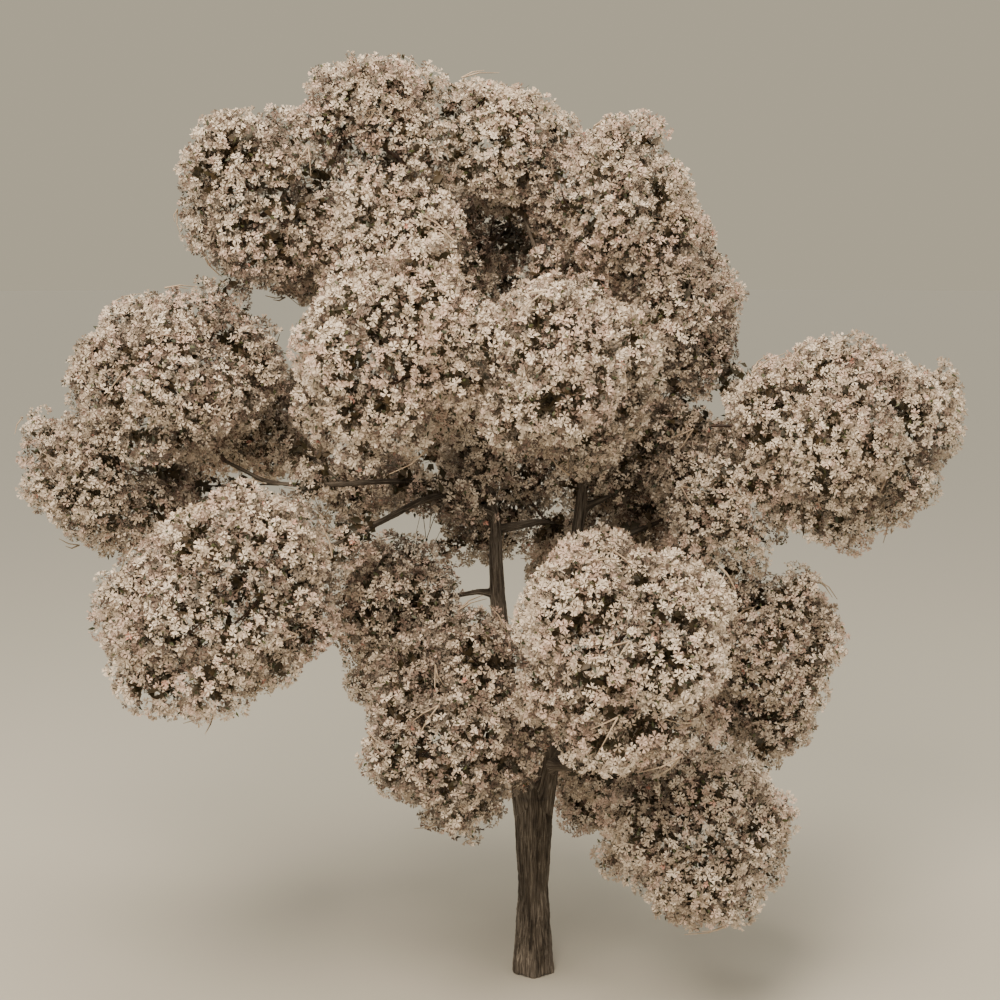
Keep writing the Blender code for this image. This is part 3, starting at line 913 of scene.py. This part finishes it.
def wedge_pattern():
    """A half-hidden flower: five petals of one face each, broad at their ends."""
    bm = bmesh.new()
    for index in range(PETALS):
        turn = math.tau * index / PETALS + shoots.uniform(-PETAL_TURN_PLAY, PETAL_TURN_PLAY)
        ahead = heading_at(turn, math.radians(shoots.uniform(*PETAL_LIFT_DEGREES)))
        root = PETAL_ROOT * PETAL_LENGTH * ahead
        half = PETAL_WIDTH / 2 * Vector((-math.sin(turn), math.cos(turn), 0))
        end = PETAL_LENGTH * shoots.uniform(*PETAL_LENGTH_PLAY) * ahead
        bm.faces.new([bm.verts.new(place) for place in (root, end - half, end + half)])
    return pattern_arrays(bm)


def frames_towards(facings, spins):
    """For each facing, a turn that takes +Z to it, after a spin about +Z."""
    level = np.abs(facings[:, 2:]) < NEARLY_UPRIGHT
    helper = np.where(level, [[0.0, 0.0, 1.0]], [[1.0, 0.0, 0.0]])
    side = unit(np.cross(helper, facings))
    other = np.cross(facings, side)
    cos, sin = np.cos(spins)[:, None], np.sin(spins)[:, None]
    return np.stack([cos * side + sin * other, cos * other - sin * side, facings], axis=2)


def around(hubs, facings, count, widest, radius, heights):
    """Places on a dome round each hub, their ways out, and the index of each one's hub.

    There are count to a hub, between two heights that are shares of the dome's radius.
    """
    step = np.tile(np.arange(count), len(hubs))
    owner = np.repeat(np.arange(len(hubs)), count)
    height = 1 - (step + dice.random(len(step))) / count * (1 - math.cos(widest))
    first = np.repeat(dice.uniform(0, ANY_TURN, len(hubs)), count)
    turn = step * math.pi * (3 - math.sqrt(5)) + first
    turn = turn + dice.uniform(-TURN_PLAY, TURN_PLAY, len(step))
    level = np.sqrt(np.clip(1 - height**2, 0, 1))
    local = np.stack([level * np.cos(turn), level * np.sin(turn), height], axis=1)
    turns = frames_towards(facings, np.zeros(len(hubs)))[owner]
    out = np.einsum("nij,nj->ni", turns, local)
    spread = np.einsum("nij,nj->ni", turns, local * (1, 1, SPRAY_FLATNESS))
    lowest, highest = (share * radius for share in heights)
    places = hubs[owner] + spread * dice.uniform(lowest, highest, len(step))[:, None]
    return places, out, owner


def copies(patterns, places, facings):
    """Joined copies of the patterns, as arrays: the corners, and the triangles that join them."""
    sizes = dice.uniform(*SIZE_PLAY, len(places))
    picks = dice.integers(len(patterns), size=len(places))
    turns = frames_towards(facings, dice.uniform(0, math.tau, len(places)))
    corners = np.array([pattern[0] for pattern in patterns])[picks]
    corners = np.einsum("nij,nkj->nki", turns, corners) * sizes[:, None, None]
    corners = corners + places[:, None, :]
    triangles = np.array([pattern[1] for pattern in patterns])[picks]
    first = np.arange(len(places)) * corners.shape[1]
    triangles = triangles + first[:, None, None]
    return corners.reshape(-1, 3), triangles.reshape(-1, 3)


def flowers_at(patterns, places, looks, tones):
    """Flowers at the places: corners, triangles, and the tone of each triangle."""
    looks = unit(looks + dice.normal(0, LOOK_PLAY, looks.shape))
    corners, triangles = copies(patterns, places, looks)
    return corners, triangles, np.repeat(tones, len(triangles) // len(places))


def blossom_of(name):
    """Tufts of open flowers on each spray's dome, some in painted shade, and flowers and calyces
    below, all in the dark painted-shade tones.
    """
    hubs, facings = plans[name]
    tufts, tuft_facings, spray = around(
        hubs, facings, TUFTS_PER_SPRAY, DOME_ANGLE, SPRAY_RADIUS, TUFT_HEIGHTS
    )
    layers = []
    for patterns, count in ((flower_patterns, OPEN_PER_TUFT), (wedge_patterns, SMALL_PER_TUFT)):
        places, out, tuft = around(
            tufts, tuft_facings, count, DOME_ANGLE, TUFT_RADIUS, FLOWER_HEIGHTS
        )
        looks = out + FLOWER_LEAN * tuft_facings[tuft]
        stray = dice.random(len(tuft)) < STRAY_TONES
        open_tones = dice.choice(OPEN_TONES, len(tuft))
        tones = np.where(stray, open_tones, spray_tones[name][spray[tuft]])
        # Painted shade: flowers on screened sprays, and on duller masses, take the dark tones.
        keeps_own_tone = dice.random(len(tuft)) < painted_light_share[name][spray[tuft]]
        tones = np.where(keeps_own_tone, tones, dice.choice(PAINTED_SHADE_TONES, len(tuft)))
        layers.append(flowers_at(patterns, places, looks, tones))
    # The flowers under the tufts are all dark: brown calyces and painted shade together.
    places, out, _ = around(
        hubs, facings, SHADED_PER_SPRAY, DOME_ANGLE, SPRAY_RADIUS, SHADED_HEIGHTS
    )
    tones = dice.choice(PAINTED_SHADE_TONES, len(places))
    layers.append(flowers_at(wedge_patterns, places, out, tones))
    return join_layers(layers)


def join_layers(layers):
    """Joins the corners, triangles and tones of several sets into one."""
    first = np.cumsum([0] + [len(layer[0]) for layer in layers[:-1]])
    return (
        np.vstack([layer[0] for layer in layers]),
        np.vstack([layer[1] + start for layer, start in zip(layers, first)]),
        np.concatenate([layer[2] for layer in layers]),
    )


def joined_piece(name, corners, triangles, finishes, tones):
    """One mesh object of many small faces, each with one of the finishes."""
    mesh = bpy.data.meshes.new(name)
    mesh.vertices.add(len(corners))
    mesh.vertices.foreach_set("co", corners.astype(np.float32).ravel())
    mesh.loops.add(triangles.size)
    mesh.loops.foreach_set("vertex_index", triangles.astype(np.int32).ravel())
    mesh.polygons.add(len(triangles))
    mesh.polygons.foreach_set("loop_start", np.arange(0, triangles.size, 3, dtype=np.int32))
    for finish in finishes:
        mesh.materials.append(finish)
    mesh.polygons.foreach_set("material_index", tones.astype(np.int32))
    mesh.update(calc_edges=True)
    piece = placed(name, mesh)
    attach(piece, "root")
    return piece


def bearing(name):
    """Which way a mass lies from the trunk."""
    middle = solids[name].mean(axis=(0, 1))
    return math.atan2(middle[1], middle[0])


def make_pieces(kind, maker, finishes, stands_for_masses):
    """Joins what the masses carry into pieces under the limit, going round the trunk."""
    batches = [[]]
    total = 0
    for name in sorted(MASSES, key=bearing):
        made = maker(name)
        if total + len(made[1]) > PIECE_LIMIT:
            batches.append([])
            total = 0
        total += len(made[1])
        batches[-1].append((name, made))
    for number, batch in enumerate(batches, 1):
        corners, triangles, tones = join_layers([made for _, made in batch])
        piece = joined_piece(f"{kind}_{number}", corners, triangles, finishes, tones)
        if stands_for_masses:
            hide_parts(*[name for name, _ in batch])


def add_grain(tree, shader, width_mm, detail, strength):
    """Gives a finish a fine raised grain in place of veins."""
    at = add_node(tree, "ShaderNodeTexCoord")
    veins = add_node(
        tree, "ShaderNodeTexNoise", Vector=(at, "Object"), Scale=1000 / width_mm, Detail=detail
    )
    grain = add_node(
        tree, "ShaderNodeBump", Strength=strength, Distance=0.001, Height=(veins, "Fac")
    )
    tree.links.new(grain.outputs["Normal"], shader.inputs["Normal"])


def petal_finish(name, code):
    """Cherry petal: thin, matt and slightly velvety, its fine veins seen only as a soft grain."""
    finish, tree, shader = new_finish(
        name, Base_Color=colour(code), Roughness=0.72, Sheen_Weight=0.15, Specular_IOR_Level=0.25
    )
    add_grain(tree, shader, PETAL_VEIN_MM, 1.0, 0.15)
    return finish


PETAL_TONES = [
    petal_finish("petals_warm_white", "#e0d2c1"),
    petal_finish("petals_cream", "#d3c4b2"),
    petal_finish("petals_blush", "#ceb6a7"),
    petal_finish("petals_tan", "#b1a190"),
    # Calyx browns, dealt out mostly as painted shade under and among the flowers.
    petal_finish("calyces_and_painted_shade_brown", "#746a60"),
    petal_finish("calyces_and_painted_shade_russet", "#7e6b60"),
]
flower_patterns = [flower_pattern() for _ in range(FLOWER_PATTERNS)]
wedge_patterns = [wedge_pattern() for _ in range(FLOWER_PATTERNS)]
spray_tones = {name: dice.choice(4, len(plans[name][0]), p=TONE_SHARES) for name in MASSES}
make_pieces("blossom", blossom_of, PETAL_TONES, True)

# ---------------------------------------------------------------------------------------------
# Coral rosettes
# Buds and unfolding leaves, coral to salmon: one small star of narrow blades on some sprays.

CORAL_SHARE = 0.14
CORAL_ANGLE = math.radians(50)
CORAL_HEIGHTS = (0.9, 1.1)
BLADE_WIDEST = 0.45
ROSETTE = {
    "count": 5, "length": 0.026, "length_play": (0.7, 1.2), "width": 0.011,
    "turn_play": 0.3, "lift_degrees": (20, 60), "fold": -0.2,
}
KITE_PATTERNS = 4


def kite_pattern(count, length, length_play, width, turn_play, lift_degrees, fold):
    """Blades from one point, each a folded kite, spread round the way that they look."""
    bm = bmesh.new()
    for index in range(count):
        reach = length * shoots.uniform(*length_play)
        turn = math.tau * index / count + shoots.uniform(-turn_play, turn_play)
        lift = math.radians(shoots.uniform(*lift_degrees))
        petal(bm, reach, width, turn, lift, fold, BLADE_WIDEST, 1.0)
    return pattern_arrays(bm)


def kites_at(patterns, places, looks):
    """Blades at the places, each set in one of two tones: corners, triangles and tones."""
    corners, triangles = copies(patterns, places, looks)
    tones = np.repeat(dice.integers(2, size=len(places)), len(triangles) // len(places))
    return corners, triangles, tones


def rosettes_of(name):
    """One rosette on some of a mass's sprays, near the top of the dome."""
    hubs, facings = plans[name]
    picked = dice.random(len(hubs)) < CORAL_SHARE
    places, out, _ = around(
        hubs[picked], facings[picked], 1, CORAL_ANGLE, SPRAY_RADIUS, CORAL_HEIGHTS
    )
    return kites_at(rosette_patterns, places, out)


rosette_patterns = [kite_pattern(**ROSETTE) for _ in range(KITE_PATTERNS)]
CORAL_TONES = [petal_finish("buds_coral", "#c69080"), petal_finish("buds_salmon", "#c9a090")]
make_pieces("coral_buds", rosettes_of, CORAL_TONES, False)

# ---------------------------------------------------------------------------------------------
# Leaves
# Small dark green leaves stand between the flowers. Larger ones, dark brown as painted shade, fill
# the crown behind them, which keeps each mass dark and closed to the eye.

YOUNG_PER_SPRAY = 8
YOUNG_ANGLE = math.radians(80)
YOUNG_HEIGHTS = (0.85, 1.15)
YOUNG_LOOK_PLAY = 0.4
INNER_PER_SPRAY = 8
INNER_ANGLE = math.radians(100)
INNER_REACH = 0.06
INNER_DEPTH = (-0.12, -0.02)
INNER_LOOK_PLAY = 0.35
LEAF = {"length_play": (0.8, 1.15), "turn_play": 0.4, "lift_degrees": (5, 50), "fold": -0.15}
YOUNG_LEAF = {"count": 1, "length": 0.034, "width": 0.014, **LEAF}
INNER_LEAVES = {"count": 2, "length": 0.062, "width": 0.036, **LEAF}
LEAF_VEIN_MM = 8


def leaf_finish(name, code):
    """Cherry leaf: smooth and slightly waxy, with a soft gloss."""
    finish, tree, shader = new_finish(name, Base_Color=colour(code), Roughness=0.5)
    add_grain(tree, shader, LEAF_VEIN_MM, 2.0, 0.3)
    return finish


def young_leaves_of(name):
    """Single leaves among a mass's flowers, looking outwards."""
    hubs, facings = plans[name]
    places, out, _ = around(
        hubs, facings, YOUNG_PER_SPRAY, YOUNG_ANGLE, SPRAY_RADIUS, YOUNG_HEIGHTS
    )
    looks = unit(out + dice.normal(0, YOUNG_LOOK_PLAY, out.shape))
    return kites_at(young_patterns, places, looks)


def inner_leaves_of(name):
    """Pairs of large leaves behind a mass's flowers, looking the way that the spray does."""
    hubs, facings = plans[name]
    places, out, owner = around(hubs, facings, INNER_PER_SPRAY, INNER_ANGLE, INNER_REACH, (0, 1))
    places = places + dice.uniform(*INNER_DEPTH, (len(places), 1)) * facings[owner]
    looks = unit(facings[owner] + dice.normal(0, INNER_LOOK_PLAY, out.shape))
    return kites_at(inner_patterns, places, looks)


young_patterns = [kite_pattern(**YOUNG_LEAF) for _ in range(KITE_PATTERNS)]
inner_patterns = [kite_pattern(**INNER_LEAVES) for _ in range(KITE_PATTERNS)]
YOUNG_TONES = [leaf_finish("young_leaves", "#45492a"), leaf_finish("young_leaves_dark", "#2c321c")]
# Leaf colours darkened to a brown painted shade for the inside of the crown.
INNER_LEAF_SHADE_TONES = [leaf_finish("inner_leaves", "#3b3420"), leaf_finish("inner_leaves_brown", "#493c28")]
make_pieces("young_leaves", young_leaves_of, YOUNG_TONES, False)
make_pieces("inner_leaves", inner_leaves_of, INNER_LEAF_SHADE_TONES, False)

# ---------------------------------------------------------------------------------------------
# Floor, lights and camera
# A pale, matt studio floor without an edge in view, a large soft light from the upper left in
# front, and an even sky of the floor's own tone.

FLOOR_RADIUS = 120.0
FLOOR_SIDES = 96
SKY_STRENGTH = 0.85
SKY_TONE = colour("#fbf3e2")
FAR_FLOOR_LIFT = 1.05
FLOOR_TONE = colour("#c4c0b5")
LIGHT_AIM = Vector((0, 0, 2.6))
CAMERA_LENS = 70.0
CAMERA_AIM = Vector((-0.184, 0.0, 2.645))
CAMERA_DISTANCE = 10.46
CAMERA_ELEVATION = math.radians(8)

bm = bmesh.new()
bmesh.ops.create_circle(bm, cap_ends=True, segments=FLOOR_SIDES, radius=FLOOR_RADIUS)
floor_mesh = mesh_of(bm, "floor")
floor_finish, _, _ = new_finish("pale_floor", Base_Color=FLOOR_TONE, Roughness=0.95)
floor_mesh.materials.append(floor_finish)
floor = placed("floor", floor_mesh)

sky = bpy.data.worlds.new("studio")
sky.use_nodes = True
sky_tree = sky.node_tree
light = sky_tree.nodes["Background"]
light.inputs["Color"].default_value = SKY_TONE
light.inputs["Strength"].default_value = SKY_STRENGTH
far_floor = [FAR_FLOOR_LIFT * sky_share * tone for sky_share, tone in zip(SKY_TONE, FLOOR_TONE)]
seen = add_node(sky_tree, "ShaderNodeBackground", Color=far_floor, Strength=SKY_STRENGTH)
path = add_node(sky_tree, "ShaderNodeLightPath")
both = add_node(sky_tree, "ShaderNodeMixShader", Fac=(path, "Is Camera Ray"))
sky_tree.links.new(light.outputs["Background"], both.inputs[1])
sky_tree.links.new(seen.outputs["Background"], both.inputs[2])
sky_tree.links.new(both.outputs["Shader"], sky_tree.nodes["World Output"].inputs["Surface"])
bpy.context.scene.world = sky


def soft_light(name, place, size, power, tint):
    """A round area light that looks at the middle of the tree."""
    lamp = bpy.data.lights.new(name, "AREA")
    lamp.shape = "DISK"
    lamp.size = size
    lamp.energy = power
    lamp.color = colour(tint)[:3]
    holder = placed(name, lamp)
    holder.location = place
    holder.rotation_euler = (LIGHT_AIM - Vector(place)).to_track_quat("-Z", "Y").to_euler()


soft_light("key_light", (-2.2, -8.6, 9.2), size=5.0, power=1500, tint="#ffeed8")
soft_light("overhead_light", (0.5, -1.0, 12.0), size=8.0, power=800, tint="#fff3e0")

lens = bpy.data.cameras.new("camera")
lens.lens = CAMERA_LENS
lens.sensor_width = 36.0
lens.clip_end = 400
camera = placed("camera", lens)
back = Vector((0, -math.cos(CAMERA_ELEVATION), math.sin(CAMERA_ELEVATION)))
camera.location = CAMERA_AIM + CAMERA_DISTANCE * back
camera.rotation_euler = (-back).to_track_quat("-Z", "Y").to_euler()
bpy.context.scene.camera = camera
